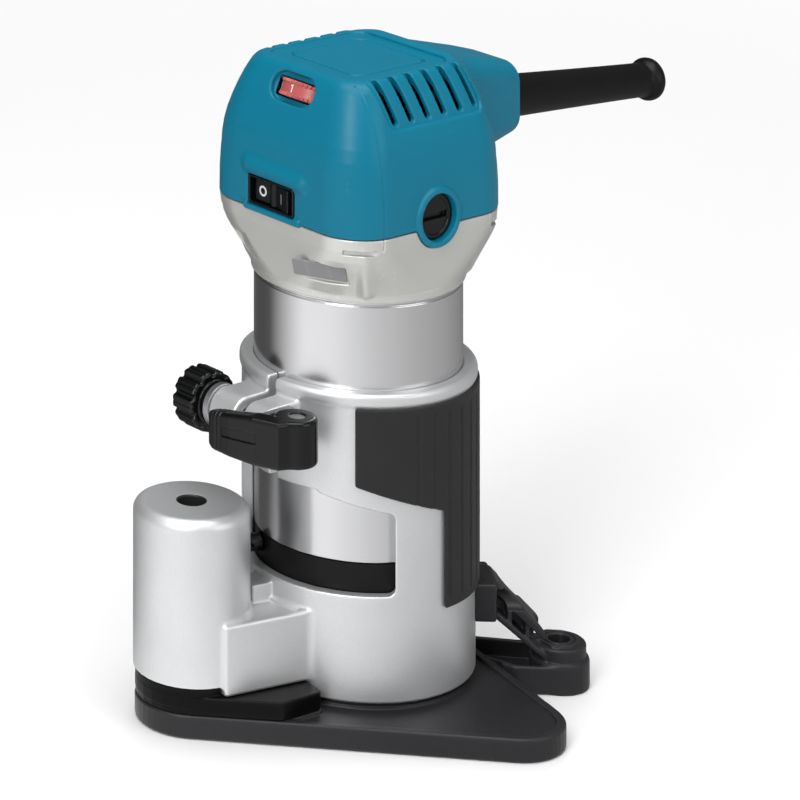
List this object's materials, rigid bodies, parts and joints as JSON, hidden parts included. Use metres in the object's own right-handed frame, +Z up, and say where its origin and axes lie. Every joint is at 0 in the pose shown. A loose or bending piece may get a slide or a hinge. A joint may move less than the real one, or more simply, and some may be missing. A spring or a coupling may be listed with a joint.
{
  "type": "trim router",
  "caption": "Trim router: a round motor unit clamped in an offset cast base, whose collet spindle is driven by a ribbed belt, on a rounded triangular plate.",
  "frame": {"origin": "on the sole (underside of the base plate), on the motor's axis", "axes": "+Z up along the motor axis; -X from the motor towards the offset spindle; -Y to the side the clamp lever's tip and the base's window are on"},
  "size_m": [0.2131, 0.142, 0.197],
  "materials": {
    "teal_housing": "fine satin texture",
    "pale_plastic": "fine satin texture",
    "black_plastic": "fine satin texture",
    "cover_plastic": "satin",
    "lever_plastic": "satin",
    "sleeve_aluminium": "turned, satin",
    "cast_aluminium": "die cast, satin painted",
    "grip_rubber": "ribbed, matt",
    "belt_rubber": "matt",
    "soft_rubber": "matt",
    "cord_rubber": "satin",
    "dial_red": "satin",
    "switch_black": "satin",
    "bright_steel": "ground",
    "dark_steel": "blackened",
    "zinc_screw": "zinc plated",
    "core_steel": "laminated",
    "copper": "enamelled winding",
    "commutator_copper": "machined",
    "brass": "pressed",
    "carbon": "sintered carbon",
    "board_green": "circuit board"
  },
  "bodies": {
    "base": {"head_shell": "teal_housing", "motor_neck": "pale_plastic", "motor_sleeve": "sleeve_aluminium", "lower_end_cap": "cover_plastic", "end_cap_screws": "zinc_screw", "head_screws": "zinc_screw", "field_core": "core_steel", "field_coils": "copper", "fan_baffle": "black_plastic", "lower_motor_bearing": "bright_steel", "upper_motor_bearing": "bright_steel", "bearing_rubber_sleeve": "soft_rubber", "brush_holders": "brass", "carbon_brushes": "carbon", "brush_springs": "bright_steel", "brush_caps": "lever_plastic", "speed_controller": "board_green", "switch_body": "switch_black", "cord_guard": "cord_rubber", "power_cord": "cord_rubber", "strain_relief_bar": "black_plastic", "strain_relief_screws": "zinc_screw", "shaft_lock_spring": "bright_steel", "drive_belt": "belt_rubber", "base_housing": "cast_aluminium", "belt_cover": "cover_plastic", "cover_screws": "zinc_screw", "base_plate": "black_plastic", "plate_screws": "zinc_screw", "upper_spindle_bearing": "bright_steel", "lower_spindle_bearing": "bright_steel", "bearing_spacer": "bright_steel", "bearing_circlip": "dark_steel", "rubber_grip": "grip_rubber", "clamp_screw": "zinc_screw", "lever_pin": "dark_steel", "nut_washer": "zinc_screw", "cam_seat": "dark_steel", "grip_attachment": "black_plastic", "attachment_screws": "zinc_screw"},
    "rotor": {"armature_shaft": "bright_steel", "armature_core": "core_steel", "armature_winding": "copper", "commutator": "commutator_copper", "cooling_fan": "black_plastic", "motor_pulley": "bright_steel", "pulley_nut": "dark_steel"},
    "spindle": {"spindle_shaft": "dark_steel", "spindle_pulley": "bright_steel", "collet_cone": "bright_steel", "collet_nut": "dark_steel"},
    "dial": {"speed_dial": "dial_red"},
    "rocker": {"switch_rocker": "switch_black"},
    "lever": {"clamp_lever": "lever_plastic"},
    "tension_nut": {"clamp_nut": "lever_plastic"},
    "lock_button": {"shaft_lock_button": "lever_plastic"}
  },
  "joints": [
    {"name": "motor_spin", "type": "hinge", "parent": "base", "child": "rotor", "pos_m": [0, 0, 0.1], "axis": [0, 0, 1], "continuous": true},
    {"name": "spindle_spin", "type": "hinge", "parent": "base", "child": "spindle", "pos_m": [-0.0613, 0, 0.03], "axis": [0, 0, 1], "continuous": true},
    {"name": "switch_rock", "type": "hinge", "parent": "base", "child": "rocker", "pos_m": [-0.03234, -0.00316, 0.1581], "axis": [0, 0, 1], "range_deg": [0, 14]},
    {"name": "speed_dial_turn", "type": "hinge", "parent": "base", "child": "dial", "pos_m": [-0.0185, -0.00326, 0.18685], "axis": [0.4006, 0.0706, 0.9135], "range_deg": [0, 250]},
    {"name": "clamp_lever_open", "type": "hinge", "parent": "base", "child": "lever", "pos_m": [-0.04084, -0.02751, 0.0915], "axis": [0, 0, 1], "range_deg": [0, 100]},
    {"name": "tension_nut_turn", "type": "hinge", "parent": "base", "child": "tension_nut", "pos_m": [-0.04779, 0.01188, 0.0915], "axis": [0.1736, -0.9848, 0], "range_deg": [-180, 180]},
    {"name": "shaft_lock_press", "type": "slide", "parent": "base", "child": "lock_button", "axis": [0.9781, -0.2079, 0], "range_m": [0, 0.0035], "stiffness_N_per_m": 300, "springref_m": -0.002, "deforming": ["shaft_lock_spring"]}
  ],
  "couplings": [
    {"joint": "spindle_spin", "follows": "motor_spin", "ratio": 1}
  ]
}
